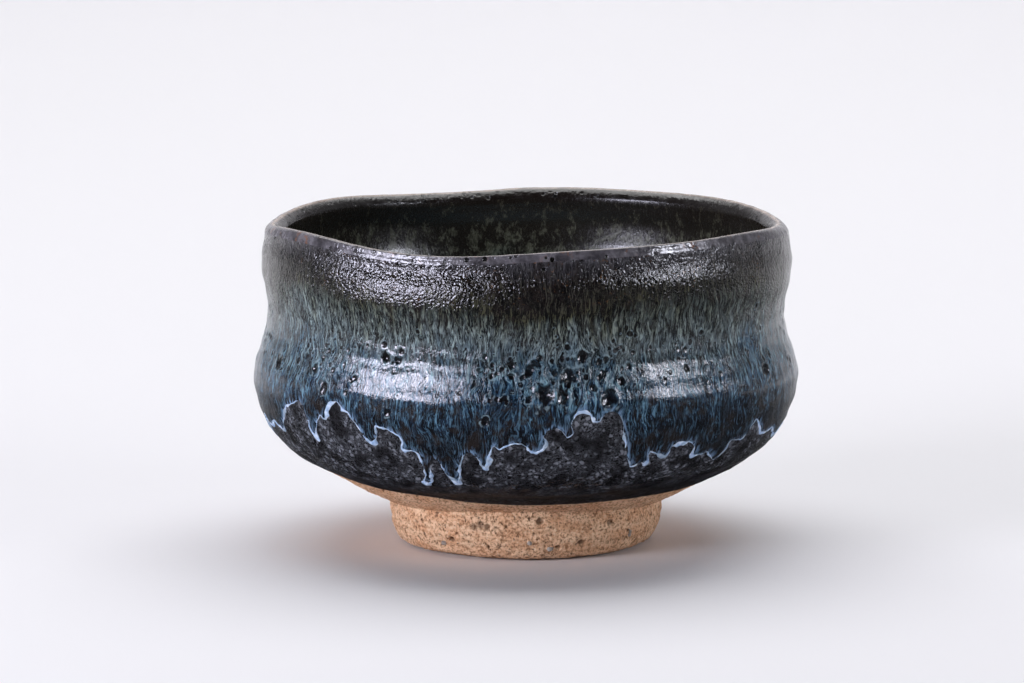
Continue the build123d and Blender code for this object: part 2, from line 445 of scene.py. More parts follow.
# ---- the running glaze's lower edge -----------------------------------------------------
# The edge at the front, from left to right, as (angle, height, half width of the pale bead
# that stands along it).
FRONT_EDGE = (
    (-78, 31.5, 0), (-74, 29.3, 0.8), (-70, 31, 0.4), (-66, 29.4, 0.6), (-63.5, 32.5, 0.3),
    (-61, 35.4, 0.7), (-58.5, 36.6, 0.7), (-56, 37.8, 0.2), (-53.8, 37.4, 0.2),
    (-52.4, 33.5, 0.3), (-51, 30, 0.8), (-49.5, 33, 0.4), (-48, 35.6, 0.5), (-46, 35.2, 0.6),
    (-44.6, 37.8, 0.6), (-42.5, 39, 0.5), (-41, 37.8, 0.5), (-39, 36.8, 0.3), (-37, 34.4, 0.3),
    (-36, 33, 0.25), (-34.5, 31.4, 0.8), (-33, 31.5, 0.8), (-32.2, 33, 0.5), (-32.4, 35, 0.4),
    (-31.4, 34.8, 0.4), (-29.3, 34.3, 0.3), (-27, 33, 0.4), (-26.6, 30.6, 0.6),
    (-25.4, 29.8, 0.4), (-23.6, 29.9, 0.4), (-22.9, 27.9, 0.4), (-22.9, 25.3, 0.4),
    (-24.2, 23.6, 0.6), (-24.7, 22.4, 1.0), (-23.4, 21.9, 1.25), (-22.1, 22.9, 0.9),
    (-21.3, 25.4, 0.35), (-20.2, 28.4, 0), (-19, 28, 0), (-18.2, 26, 0.4), (-17.5, 24, 0.6),
    (-16.2, 22.6, 1.1), (-15.1, 22.9, 1.2), (-14.7, 25.2, 0.5), (-13.3, 28.9, 0.3),
    (-11.5, 30.6, 0), (-10, 28.4, 0.3), (-9, 26.4, 0.8), (-7.8, 27.8, 0.7), (-7.6, 30, 0.6),
    (-6.8, 32, 0.4), (-5.4, 31.6, 0.35), (-3.6, 32.1, 0.4), (-1.9, 32.7, 0.35),
    (-0.2, 32.2, 0.35), (0.7, 31, 0.4), (2, 30.5, 0.7), (3.6, 31.3, 1.0), (4.2, 32.8, 0.9),
    (3.6, 34.4, 0.4), (4.8, 35.7, 0), (6, 36, 0.2), (7.4, 35.2, 0.4), (8.4, 34, 0.6),
    (9.3, 35.1, 0.45), (9.2, 37.2, 0.4), (9.9, 38.8, 0.4), (11.7, 39.7, 0.5),
    (13.2, 39.1, 0.5), (13.9, 37.5, 0.6), (15.2, 37.4, 0.5), (15.9, 38.6, 0.35),
    (17.6, 39.3, 0.25), (19.2, 38.6, 0.3), (20.1, 37, 0.4), (20.4, 34, 0.5), (20.8, 32.4, 0.4),
    (21.6, 30, 0), (22.6, 27.8, 0.4), (23.3, 26.5, 0.6), (24.6, 26.9, 0.3), (25.6, 27.1, 0.1),
    (26.7, 26.5, 0.8), (27.4, 28, 0.6), (26.9, 30.2, 0.4), (28, 29.5, 0.8), (29.2, 28.8, 0.7),
    (31.2, 28.1, 0.6), (32, 29.2, 0.4), (32.1, 30.4, 0.1), (33, 30.7, 0.6), (35, 30.9, 0.7),
    (37.3, 30.9, 0.6), (38.6, 29.6, 0.3), (38.9, 27.5, 0.8), (40.9, 27.3, 0.4),
    (43.6, 27.4, 0.35), (47.2, 25.3, 0.4), (49.3, 26.4, 0.4), (50.2, 28, 0.5),
    (50.4, 29.7, 0.3), (53.5, 29.2, 0.25), (56, 30.8, 0.3), (56.2, 32.2, 0.35),
    (58, 33.4, 0.4), (60.5, 31, 0.5), (63, 29.5, 0.6), (68, 30, 0.3), (74, 27, 0.7),
    (78, 28.5, 0.4),
)
# Tops of the arches between the runs round the back, as (angle, height); the runs between
# them end at the frame's beads.
BACK_ARCHES = (
    (78, 28.5), (85, 34), (100, 32.6), (114, 35.6), (129, 33.2), (145, 37), (160, 34.6),
    (176, 33), (192, 36.4), (207, 33.8), (222, 36), (238, 32.8), (254, 35), (268, 34.2),
    (282, 31.5),
)
BACK_STEP = 1.1            # degrees between the points of the edge round the back
RUN_SQUARE = 2.6           # how square a run's tip is
RUN_SPREAD = 1.35          # a run's foot, in bead half widths
CURVE_CUTS = 6             # points along the rounded edge for each one given
EDGE_REACH = 6.0           # the distance from the edge is felt this far
BEAD_SHARE = 1.05          # a bead is thin along the arches and full in the tips


def frame_runs():
    """(angle, tip height, half width) of each bead in the frame."""
    co, angle = frame_points("blue_drips")
    runs = []
    for group in groups(angle, 1.2):
        low, high = angle[group].min(), angle[group].max()
        radius = np.hypot(co[group, 0], co[group, 1]).mean()
        runs.append(((low + high) / 2, co[group, 2].min(), radians(high - low) / 2 * radius))
    return runs


def groups(values, gap):
    """Index arrays of the values, split wherever two in order are further apart than a gap."""
    order = np.argsort(values)
    breaks = np.where(np.diff(values[order]) > gap)[0] + 1
    return np.split(order, breaks)


def back_edge(runs):
    """The edge round the back: arches, with a run let down at each of the frame's beads."""
    a, v = np.array(BACK_ARCHES).T
    angle = np.arange(a[0] + 2, a[-1] - 2, BACK_STEP)
    i = np.searchsorted(a, angle) - 1
    arch = v[i] + (v[i + 1] - v[i]) * smooth_step((angle - a[i]) / (a[i + 1] - a[i]), 0, 1)
    height, bead = arch.copy(), np.full(len(angle), 0.3)
    for at, tip, half in runs:
        across = np.radians(turned(angle, at)) * BELLY_R
        inside = (at % 360 > a[0]) & (at % 360 < a[-1])
        near = inside * np.exp(-((np.abs(across) / (half * RUN_SPREAD)) ** RUN_SQUARE))
        height -= (arch - tip) * near
        bead += 0.25 * half * near
    place = np.stack([angle / 3, 0 * angle, 0 * angle], -1)
    height += 1.1 * layered_noise(place, 1.4, 31)
    bead *= 0.4 + 0.9 * smooth_step(noise(place, 2.3, 33), -0.55, -0.2)
    angle = angle + 1.6 * noise(place, 1.1, 32)
    return np.stack([angle, height, bead], -1)


def rounded(points, cuts):
    """A closed smooth line through the points."""
    before, after = np.roll(points, 1, 0), np.roll(points, -1, 0)
    later = np.roll(points, -2, 0)
    line = []
    for t in np.arange(cuts) / cuts:
        line.append(0.5 * (2 * points + (after - before) * t
                           + (2 * before - 5 * points + 4 * after - later) * t**2
                           + (3 * points - before - 3 * after + later) * t**3))
    return np.stack(line, 1).reshape(-1, points.shape[1])


def edge_curve(skin, runs):
    """The whole edge as (angle, length along the skin, half width of its bead)."""
    round_trip = np.array([360, 0, 0])
    points = np.array([*FRONT_EDGE, *back_edge(runs)])
    points[:, 0] = np.unwrap(points[:, 0], period=360)
    ahead, behind = points[:3] + round_trip, points[-3:] - round_trip
    line = rounded(np.concatenate([behind, points, ahead]), CURVE_CUTS)
    line = line[3 * CURVE_CUTS: -3 * CURVE_CUTS]
    line[:, 1] = [skin.outer_s(height) for height in line[:, 1]]
    turn = np.radians(line[:, 0])
    place = BELLY_R * np.stack([np.sin(turn), np.cos(turn), line[:, 1] / BELLY_R], -1)
    breaks = smooth_step(noise(place, 2.2, 37), -0.35, 0.1)
    line[:, 2] = BEAD_SHARE * np.clip(line[:, 2], 0, None) ** 1.5 * (0.3 + 0.7 * breaks)
    return line


def edge_field(grid, curve):
    """Signed distance above the edge, and the half width of the bead that is nearest."""
    distance = np.full(grid.s.shape, EDGE_REACH)
    bead = np.zeros(grid.s.shape)
    below = np.zeros(grid.s.shape, bool)
    for start, end in zip(curve, np.roll(curve, -1, 0)):
        span = turned(end[0], start[0])
        toggle_below(grid, below, start, span, end[1])
        step = np.array([radians(span) * BELLY_R, end[1] - start[1]])
        found = grid.window(start[0], start[1], EDGE_REACH + 1)
        if found is None:
            continue
        cells, across, along = found
        share = np.clip((across * step[0] + along * step[1]) / max(step @ step, 1e-9), 0, 1)
        gap = np.hypot(across - share * step[0], along - share * step[1])
        closer = gap < distance[cells]
        distance[cells] = np.where(closer, gap, distance[cells])
        bead[cells] = np.where(closer, start[2] + share * (end[2] - start[2]), bead[cells])
    place = grid.flat
    ragged = 0.38 * noise(place, 1.7, 35) + 0.22 * noise(place, 0.8, 36)
    return np.where(below, -distance, distance) + ragged, bead


OFF_VERTEX = 0.00137       # keeps a column from meeting the edge exactly at one of its points


def toggle_below(grid, below, start, span, end_s):
    """Flip what lies under one stretch of the edge; under it all counts as below."""
    off = turned(grid.angle + OFF_VERTEX, start[0])
    hit = (off >= 0) & (off < span) if span > 0 else (off < 0) & (off >= span)
    for column in np.where(hit)[0]:
        level = start[1] + (end_s - start[1]) * off[column] / span
        below[grid.rows < level, column] ^= True


# ---- craters: bubbles that burst in the glaze ---------------------------------------------
# The large ones at the front, as (angle, height, radius).
BIG_CRATERS = (
    (4, 43.4, 1.9), (7.6, 42.7, 1.5), (17, 42.2, 1.7), (-46, 42.0, 1.2), (-65, 44.7, 1.4),
    (-31, 50.2, 1.2), (-28, 49.6, 0.8), (1, 48.6, 0.9), (-3, 49.6, 0.9), (9, 46.8, 1.5),
    (12, 51.2, 1.3), (-50, 45.6, 0.9), (3, 51.0, 0.8), (14, 44.4, 0.8), (20, 45.4, 0.9),
    (-29, 38.6, 0.8), (-8, 38.0, 0.8), (61, 44.0, 1.4), (36, 47.0, 0.9), (-38, 44.8, 0.7),
)
SMALL_CRATERS = 1300
CRATER_Z = (48.5, 3.6)     # mean height and spread of the small ones
CRATER_LIMITS = (39, 63)   # and the lowest and highest they may lie
CLUSTER = 7.0              # size of the groups that the small ones gather in


def crater_list():
    """Every crater as (angle, height, radius)."""
    draw = np.random.default_rng(5)
    angles = draw.uniform(-180, 180, SMALL_CRATERS)
    heights = np.clip(draw.normal(*CRATER_Z, SMALL_CRATERS), *CRATER_LIMITS)
    sizes = 0.20 + 0.5 * draw.random(SMALL_CRATERS) ** 3
    turn = np.radians(angles)
    place = round_bowl(BELLY_R, turn, heights)
    kept = noise(place, CLUSTER, 38) > -0.05
    return [*BIG_CRATERS, *zip(angles[kept], heights[kept], sizes[kept])]


def craters(grid, skin):
    """Relief of the craters, how near each place is to one, and the push on the streaks."""
    relief = np.zeros(grid.s.shape)
    near = np.full(grid.s.shape, 3.0)
    push = np.zeros(grid.s.shape)
    bent = 1 + 0.34 * noise(grid.flat, 1.1, 39) + 0.16 * noise(grid.flat, 0.5, 40)
    for angle, height, radius in crater_list():
        found = grid.window(angle, skin.outer_s(height), 3 * radius)
        if found is None:
            continue
        cells, across, along = found
        q = np.hypot(across, along * 0.85) / radius * bent[cells]
        bowl = -0.30 * radius * np.clip(1 - q**2, 0, None) ** 2
        rim = 0.13 * radius * np.exp(-(((q - 1.15) / 0.3) ** 2))
        relief[cells] += bowl + rim
        near[cells] = np.minimum(near[cells], q)
        push[cells] += -across * 0.75 * np.exp(-((q / 1.5) ** 2))
    return relief, near, push


# ---- coordinates that the streaks follow --------------------------------------------------
def flow(grid, push):
    """Where each place's glaze came from: streaks run along the third coordinate."""
    place = grid.flat
    calm = smooth_step(grid.z, 46, 56)
    wander = (1.5 - 0.9 * calm) * noise(place * (1, 1, 0.8), 6.0, 41)
    wander = wander + (0.55 - 0.2 * calm) * noise(place, 2.4, 42)
    turn = grid.turn + (wander + push) / BELLY_R
    slide = grid.s + 1.2 * noise(place, 7.0, 43)
    return round_bowl(BELLY_R, turn, slide)


# Where the running glaze lies thinner or thicker than elsewhere at the front, as (angle,
# height, reach round, reach up, shift): a shift above 0 brings the black glaze lower.
THIN = (
    (4, 64, 14, 5, 6.5), (-34, 66, 12, 3, 3.5), (-56, 62, 9, 5, -5), (44, 66, 16, 5, -3),
    (-50, 52, 12, 4, -3), (20, 55, 10, 3, 2), (-62, 44, 8, 5, 2), (58, 51, 7, 3, -5),
)


def thin_shift(grid):
    """How many millimetres up each place looks, for its share of the two glazes."""
    shift = np.zeros(grid.s.shape)
    for angle, height, wide, tall, amount in THIN:
        off = turned(grid.angle[None, :], angle)
        shift += amount * np.exp(-((off / wide) ** 2) - ((grid.z - height) / tall) ** 2)
    return shift


def pole(rows, columns, tip, at_end):
    """A fan of faces that closes a grid's first or last row at one more point, the tip."""
    start = (rows - 1) * columns if at_end else 0
    i = np.arange(columns)
    j = (i + 1) % columns
    ring = [start + i, start + j] if at_end else [start + j, start + i]
    return np.stack([*ring, np.full(columns, tip)], -1)


def spans(*stretches):
    """Rows along the section: (from, to, step) stretches joined end to end."""
    rows = []
    for low, high, step in stretches:
        count = max(2, int(round((high - low) / step)))
        rows.extend(np.linspace(low, high, count, endpoint=False))
    return np.array([*rows, stretches[-1][1]])


# ---- materials --------------------------------------------------------------------------
def colour(code):
    """Linear colour from a hex code such as "c9a27c"."""
    parts = [int(code[i:i + 2], 16) / 255 for i in (0, 2, 4)]
    linear = [c / 12.92 if c <= 0.04045 else ((c + 0.055) / 1.055) ** 2.4 for c in parts]
    return (*linear, 1.0)


class Look:
    """A material's node tree, with a short method for each kind of node."""

    def __init__(self, name):
        self.material = bpy.data.materials.new(name)
        self.material.use_nodes = True
        self.tree = self.material.node_tree
        self.shader = self.tree.nodes["Principled BSDF"]
        self.place = self.scaled(self.node("ShaderNodeTexCoord").outputs["Object"], (1 / MM,) * 3)
        self.height = self.node("ShaderNodeSeparateXYZ", Vector=self.place).outputs["Z"]

    def node(self, kind, settings=None, **inputs):
        made = self.tree.nodes.new(kind)
        for key, value in (settings or {}).items():
            setattr(made, key, value)
        for key, value in inputs.items():
            self.put(made.inputs[key.replace("_", " ")], value)
        return made

    def put(self, socket, value):
        """A constant set on a socket, or another node's output linked to it."""
        if isinstance(value, bpy.types.NodeSocket):
            self.tree.links.new(value, socket)
        else:
            socket.default_value = value

    def set(self, **inputs):
        for key, value in inputs.items():
            self.put(self.shader.inputs[key.replace("_", " ")], value)

    def attribute(self, name, kind="Fac"):
        return self.node("ShaderNodeAttribute", {"attribute_name": name}).outputs[kind]

    def scaled(self, vector, factors):
        made = self.node("ShaderNodeVectorMath", {"operation": "MULTIPLY"})
        self.put(made.inputs[0], vector)
        made.inputs[1].default_value = factors
        return made.outputs[0]

    def noise(self, vector, size, detail=2.0, rough=0.5, twist=0.0):
        """Noise from 0 to 1; size is its grain in millimetres, one number or one per axis."""
        sizes = size if isinstance(size, tuple) else (size,) * 3
        vector = self.scaled(vector, tuple(1 / value for value in sizes))
        made = self.node("ShaderNodeTexNoise", Vector=vector, Scale=1.0, Detail=detail,
                         Roughness=rough, Distortion=twist)
        return made.outputs["Fac"]

    def cells(self, vector, size, feature="F1"):
        """A Voronoi texture's outputs, by its cell size in millimetres."""
        vector = self.scaled(vector, (1 / size,) * 3)
        return self.node("ShaderNodeTexVoronoi", {"feature": feature}, Vector=vector,
                         Scale=1.0).outputs

    def math(self, operation, a, b=0.0):
        made = self.node("ShaderNodeMath", {"operation": operation})
        self.put(made.inputs[0], a)
        self.put(made.inputs[1], b)
        return made.outputs[0]

    def add(self, a, b):
        return self.math("ADD", a, b)

    def sub(self, a, b):
        return self.math("SUBTRACT", a, b)

    def most(self, a, b):
        return self.math("MAXIMUM", a, b)

    def mul(self, first, *others):
        for other in others:
            first = self.math("MULTIPLY", first, other)
        return first

    def swing(self, noise, reach):
        """Noise from 0 to 1 as a shift to either side of 0."""
        return self.mul(self.sub(noise, 0.5), reach)

    def off_middle(self, noise):
        """How far noise from 0 to 1 is from its middle, which draws crooked lines."""
        return self.math("ABSOLUTE", self.sub(noise, 0.5))

    def step(self, value, low, high, start=0.0, end=1.0):
        """A smooth step of a value between two limits."""
        made = self.node("ShaderNodeMapRange", {"interpolation_type": "SMOOTHSTEP"})
        for socket, item in zip(made.inputs[:5], (value, low, high, start, end)):
            self.put(socket, item)
        return made.outputs[0]

    def mix(self, share, a, b):
        """A mix of two colours, which are the node's seventh and eighth sockets."""
        made = self.node("ShaderNodeMix", {"data_type": "RGBA"})
        self.put(made.inputs[0], share)
        self.put(made.inputs[6], a)
        self.put(made.inputs[7], b)
        return made.outputs[2]

    def ramp(self, value, stops, low=0.0, high=1.0):
        """A colour or grey ramp of (value, hex code or number) stops between two limits."""
        share = self.node("ShaderNodeMapRange")
        for socket, item in zip(share.inputs[:5], (value, low, high, 0.0, 1.0)):
            self.put(socket, item)
        made = self.node("ShaderNodeValToRGB", Fac=share.outputs[0])
        elements = made.color_ramp.elements
        while len(elements) < len(stops):
            elements.new(0.5)
        for element, (at, value) in zip(elements, stops):
            element.position = (at - low) / (high - low)
            grey = not isinstance(value, str)
            element.color = (value, value, value, 1) if grey else colour(value)
        return made.outputs["Color"]

    def bump(self, height, depth, under=None):
        """A bump whose height of 1 stands this many millimetres proud."""
        made = self.node("ShaderNodeBump", Height=height, Strength=1.0, Distance=depth * MM)
        if under is not None:
            self.put(made.inputs["Normal"], under)
        return made.outputs["Normal"]


# Colours down the outside, as (height, hex code): the dark ground, the glaze's middle tone
# and its palest threads. The black glaze shows through at the top, the blue pools on the
# belly, and both thin out towards the lower edge.
# The lavender grey of the stops from 72.5 up is partly the thin glaze's own colour on the lip and
# partly a painted sheen.
DARK = ((24, "0b0b0e"), (34, "0a0d13"), (40, "080e18"), (46, "09111d"), (50, "13191f"),
        (54, "202529"), (58, "191c1e"), (62, "0b0c0c"), (69, "0a090a"), (72.5, "232226"),
        (75, "403f45"))
MIDDLE = ((24, "15171c"), (34, "1a202b"), (39, "1f3044"), (43, "2a4663"), (47, "3c5a72"),
          (51, "515f6a"), (55, "5f6a6e"), (60, "454d4d"), (64, "1e1f1c"), (69, "1c191a"),
          (72.5, "48474d"), (75, "76747d"))
PALE = ((24, "4d6173"), (34, "5c7f98"), (39, "6b96b3"), (43, "7ba8bf"), (47, "8bb0bd"),
        (51, "94aeb4"), (55, "a2b4b5"), (60, "98a398"), (64, "77765a"), (70, "6b6a63"),
        (75, "85838c"))
THREADS = ((24, 0.5), (34, 0.6), (40, 0.75), (46, 0.85), (52, 0.9), (57, 0.8), (61, 0.5),
           (66, 0.35), (75, 0.1))
BAND = (24, 75)
ROUGH_BAND = ((30, 0.20), (38, 0.14), (47, 0.13), (54, 0.14), (62, 0.12), (68, 0.10),
              (75, 0.12))     # the running glaze's roughness by height
THREAD_WIDTH = (0.05, 0.014)   # how far from its noise's middle a thread ends, and is full


def threads(look, along, size):
    """Thin crooked lines drawn out along the glaze's run."""
    wave = look.noise(along, (size, size, size * 5.5), 2.0, 0.55, 0.9)
    return look.step(look.off_middle(wave), *THREAD_WIDTH)


def running_level(look, along, broad):
    """The height whose colours a place takes, so that the two glazes meet unevenly."""
    fingers = look.noise(along, (1.5, 1.5, 14.0), 2.0, 0.6)
    shift = look.add(look.swing(broad, 12.0), look.swing(fingers, 14.0))
    shift = look.mul(shift, look.step(look.height, 57, 66, 1.0, 0.2))
    thin = look.mul(look.attribute("thin"), look.step(look.height, 60, 68, 1.0, 0.3))
    return look.add(look.add(look.height, shift), thin)


def thread_share(look, along, fine, middle, broad, both):
    """How much of the pale threads shows, and of the pale blots between them."""
    hair = threads(look, along, 0.55)
    wisp = threads(look, along, 1.3)
    lit = look.most(look.mul(hair, look.step(fine, 0.42, 0.66)),
                    look.mul(wisp, look.step(middle, 0.42, 0.60)))
    lit = look.most(lit, look.step(both, 0.57, 0.72, 0.0, 0.8))
    return look.mul(lit, look.step(broad, 0.30, 0.62, 0.35, 1.0))


def running_relief(look, both, lit, pin):
    """Streaks that stand slightly proud, orange peel that grows upwards, and pinholes."""
    relief = look.add(look.mul(both, 0.9), look.mul(lit, 0.35))
    normal = look.bump(relief, 0.075)
    upper = look.step(look.height, 50, 60, 0.25, 1.0)
    pebble = look.cells(bent_place(look, 0.8), 0.6, "SMOOTH_F1")["Distance"]
    peel = look.sub(look.noise(look.place, 0.5, 1.0), pebble)
    normal = look.bump(look.mul(peel, upper), 0.12, normal)
    return look.bump(look.mul(pin, -1.0), 0.25, normal)


def running_glaze():
    """The streaked blue and grey-green glaze, with the black glaze it thins out to above."""
    look = Look("running_glaze")
    along = look.attribute("flow", "Vector")
    fine = look.noise(along, (0.24, 0.24, 1.5), 3.0, 0.65, 0.8)
    middle = look.noise(along, (0.7, 0.7, 3.2), 3.0, 0.6, 1.0)
    broad = look.noise(along, (4.5, 4.5, 7.0), 3.0, 0.65)
    both = look.add(look.mul(fine, 0.45), look.mul(middle, 0.55))
    level = running_level(look, along, broad)
    dark, mid, pale = (look.ramp(level, table, *BAND) for table in (DARK, MIDDLE, PALE))
    tone = look.mix(look.step(both, 0.44, 0.57), dark, mid)
    brown = look.step(look.noise(look.place, 3.2, 4.0, 0.7), 0.48, 0.60)
    brown = look.mul(brown, look.step(look.height, 46, 38, 0.45, 0.9))
    tone = look.mix(brown, tone, colour("26201e"))
    lit = thread_share(look, along, fine, middle, broad, both)
    lit = look.mul(lit, look.ramp(level, THREADS, *BAND))
    lit = look.mul(lit, look.sub(1.0, look.mul(brown, 0.6)))
    tone = look.mix(lit, tone, pale)
    edge = look.attribute("edge")
    hem = look.mul(look.step(edge, 1.8, 0.2), look.step(middle, 0.46, 0.62))
    tone = look.mix(look.mul(hem, 0.75), tone, colour("7f9fc4"))
    tone = crater_tones(look, tone, look.attribute("near"))
    tone = rust_specks(look, tone)
    pin = pinholes(look)
    tone = look.mix(pin, tone, colour("050505"))
    shine = look.ramp(look.height, ROUGH_BAND, ROUGH_BAND[0][0], ROUGH_BAND[-1][0])
    shine = look.add(shine, look.swing(fine, 0.1))
    look.set(Base_Color=tone, Roughness=shine, Normal=running_relief(look, both, lit, pin),
             IOR=1.65)
    return look.material


def crater_tones(look, tone, near):
    """Dark glassy middles and pale drawn-out rims on the burst bubbles."""
    dark = look.step(near, 1.15, 0.7)
    rim = look.mul(look.step(near, 0.95, 1.2), look.step(near, 1.7, 1.3))
    rough_rim = look.noise(look.place, 0.8, 2.0)
    rim = look.mul(rim, look.step(rough_rim, 0.44, 0.64, 0.0, 0.75))
    tone = look.mix(look.mul(dark, 0.9), tone, colour("0d0b0c"))
    return look.mix(rim, tone, colour("8096a2"))


def rust_specks(look, tone):
    """Small rust-brown specks where the glaze is thin, towards the lip."""
    speck = look.step(look.noise(look.place, 0.7, 3.0, 0.6), 0.60, 0.72)
    patch = look.step(look.noise(look.place, 6.0, 2.0), 0.42, 0.62)
    upper = look.step(look.height, 60, 66)
    share = look.mul(speck, patch, upper)
    return look.mix(look.mul(share, 0.7), tone, colour("6b4a2c"))


def pinholes(look):
    """Tiny holes in clusters just under the lip."""
    cells = look.cells(look.place, 1.6)
    dot = look.step(cells["Distance"], 0.40, 0.28)
    chosen = look.step(look.node("ShaderNodeSeparateColor", Color=cells["Color"]).outputs[0],
                       0.35, 0.40)
    cluster = look.step(look.noise(look.place, 7.0, 2.0), 0.42, 0.56)
    upper = look.mul(look.step(look.height, 65.5, 68.5), look.step(look.height, 74.6, 73.4))
    dot = look.mul(dot, chosen, cluster)
    return look.mul(dot, upper)


def bent_place(look, reach):
    """The object's coordinates pushed about by noise, so that cells lose their round shape."""
    push = look.node("ShaderNodeTexNoise", Vector=look.scaled(look.place, (0.7,) * 3), Scale=1.0)
    bent = look.node("ShaderNodeVectorMath", {"operation": "ADD"})
    look.put(bent.inputs[0], look.place)
    look.put(bent.inputs[1], look.scaled(push.outputs["Color"], (reach,) * 3))
    return bent.outputs[0]


def black_glaze():
    """The black glaze below the runs: satin, clouded with grey crystals, rust at its line."""
    look = Look("black_glaze")
    place = look.place
    bent = bent_place(look, 2.0)
    spot = look.step(look.cells(bent, 1.35)["Distance"], 0.42, 0.24)
    patch = look.step(look.noise(place, 5.0, 3.0), 0.36, 0.58)
    curd = look.noise(bent, (1.0, 1.0, 0.7), 3.0, 0.65, 1.2)
    wisp = look.step(look.off_middle(curd), 0.05, 0.012)
    crystals = look.most(spot, look.mul(wisp, 0.6))
    crystals = look.mul(crystals, patch)
    crystals = look.mul(crystals, look.step(look.height, 17.5, 24.0, 0.25, 1.0))
    base = look.mix(look.step(curd, 0.35, 0.65), colour("0f0f11"), colour("29292d"))
    tone = look.mix(look.mul(crystals, 0.85), base, colour("80848f"))
    edge = look.attribute("edge")
    rust = look.mul(look.step(edge, 0.55, 0.1), look.step(curd, 0.30, 0.5))
    tone = look.mix(rust, tone, colour("96592a"))
    grain = look.noise(place, 0.5, 3.0, 0.6)
    normal = look.bump(look.noise(bent, 1.1, 1.0), 0.22)
    normal = look.bump(crystals, 0.06, normal)
    rough = look.add(look.mul(grain, 0.3), 0.08)
    rough = look.add(rough, look.step(look.height, 22.0, 18.0, 0.0, 0.4))
    look.set(Base_Color=tone, Roughness=rough, Normal=normal, IOR=1.42)
    look.shader.inputs["Specular IOR Level"].default_value = 0.28
    return look.material


def inner_glaze():
    """Inside: brown-black under the lip, then mottled grey-green running glaze."""
    look = Look("inner_glaze")
    place = look.place
    mottle = look.noise(place, (2.4, 2.4, 3.4), 4.0, 0.65, 0.5)
    fine = look.noise(place, (0.5, 0.5, 0.9), 2.0, 0.6)
    broad = look.noise(place, 7.0, 2.0)
    level = look.add(look.height, look.swing(broad, 12.0))
    share = look.ramp(level, ((20, 0.66), (45, 0.66), (56, 0.56), (63, 0.34), (68, 0.12),
                              (75, 0.04)), 20, 75)
    both = look.add(look.mul(mottle, 0.75), look.mul(fine, 0.25))
    spread = look.step(both, 0.33, 0.67)
    amount = look.step(spread, look.sub(0.70, share), look.sub(1.45, share))
    ground = look.ramp(level, ((20, "1d2a30"), (50, "262b29"), (62, "24211c"), (75, "1a1512")),
                       20, 75)
    pale = look.ramp(level, ((20, "5d8093"), (48, "687e78"), (60, "67695b"), (75, "40392f")),
                     20, 75)
    tone = look.mix(amount, ground, pale)
    relief = look.add(look.mul(mottle, 0.7), look.mul(fine, 0.4))
    normal = look.bump(relief, 0.09)
    rough = look.add(look.mul(fine, 0.3), 0.10)
    look.set(Base_Color=tone, Roughness=rough, Normal=normal, IOR=1.52)
    return look.material


def lip_glaze():
    """The thin glaze over the lip: grey with some painted sheen, rust in places, and a painted
    highlight as a pale line on its crest.
    """
    look = Look("lip_glaze")
    place = look.place
    cloud = look.noise(place, 3.5, 3.0, 0.6)
    # This grey is partly the thin glaze's own colour and partly a painted sheen.
    tone = look.mix(look.step(cloud, 0.3, 0.7), colour("343237"), colour("6b6870"))
    rust = look.mul(look.step(look.noise(place, 4.5, 3.0), 0.54, 0.66),
                    look.step(look.noise(place, 0.9, 2.0), 0.42, 0.62))
    tone = look.mix(look.mul(rust, 0.8), tone, colour("80502c"))
    tone = look.mix(look.attribute("inward"), tone, colour("17110f"))
    # The pale line along the crest is a painted highlight.
    crest = look.attribute("crest")
    tone = look.mix(look.mul(crest, look.step(cloud, 0.25, 0.6, 0.4, 1.0)), tone,
                    colour("b5a397"))
    pin = pinholes(look)
    tone = look.mix(pin, tone, colour("060505"))
    normal = look.bump(look.noise(place, 0.7, 1.0), 0.1)
    normal = look.bump(look.mul(pin, -1.0), 0.2, normal)
    look.set(Base_Color=tone, Roughness=look.step(cloud, 0.3, 0.7, 0.15, 0.3), Normal=normal,
             IOR=1.65)
    return look.material


def pooled_glaze():
    """The thick pale-blue beads at the ends of the runs."""
    look = Look("pooled_glaze")
    cloud = look.noise(look.place, 1.1, 3.0, 0.6)
    tone = look.ramp(cloud, ((0.3, "86a5cf"), (0.5, "b4cbea"), (0.7, "dfe9fb")), 0.3, 0.7)
    grey = look.step(look.noise(look.place, 4.0, 2.0), 0.48, 0.62)
    tone = look.mix(look.mul(grey, 0.6), tone, colour("7b8b98"))
    normal = look.bump(cloud, 0.08)
    look.set(Base_Color=tone, Roughness=look.step(cloud, 0.3, 0.7, 0.16, 0.3), Normal=normal,
             IOR=1.52)
    return look.material


def bare_clay():
    """Coarse buff stoneware: sandy, with dark pits, pale grains and trimming marks; the torn pits
    are darkened as painted shade.
    """
    look = Look("bare_clay")
    place = look.place
    broad = look.noise(place, (6.0, 6.0, 3.0), 3.0)
    tone = look.mix(look.step(broad, 0.3, 0.7), colour("dfae89"), colour("f5d0ae"))
    grain = look.noise(place, 0.7, 3.0, 0.75)
    speck = look.noise(place, 1.1, 3.0, 0.7)
    tone = look.mix(look.step(grain, 0.52, 0.38, 0.0, 0.8), tone, colour("8f6547"))
    tone = look.mix(look.step(grain, 0.55, 0.68, 0.0, 0.8), tone, colour("f7dfc2"))
    tone = look.mix(look.step(speck, 0.40, 0.30, 0.0, 0.85), tone, colour("5b3c28"))
    # Painted shade darkens the torn pits.
    pit_shade = look.attribute("pit_shade")
    tone = look.mix(look.step(pit_shade, 0.1, 1.0, 0.0, 0.65), tone, colour("4c3120"))
    band = look.noise(place, (30.0, 30.0, 0.7), 3.0)
    tone = look.mix(look.step(band, 0.5, 0.7, 0.0, 0.25), tone, colour("a07652"))
    normal = look.bump(grain, 0.34)
    normal = look.bump(look.step(speck, 0.42, 0.30), -0.4, normal)
    normal = look.bump(band, 0.25, normal)
    look.set(Base_Color=tone, Roughness=look.step(grain, 0.3, 0.7, 0.95, 0.8), Normal=normal)
    look.shader.inputs["Specular IOR Level"].default_value = 0.2
    return look.material


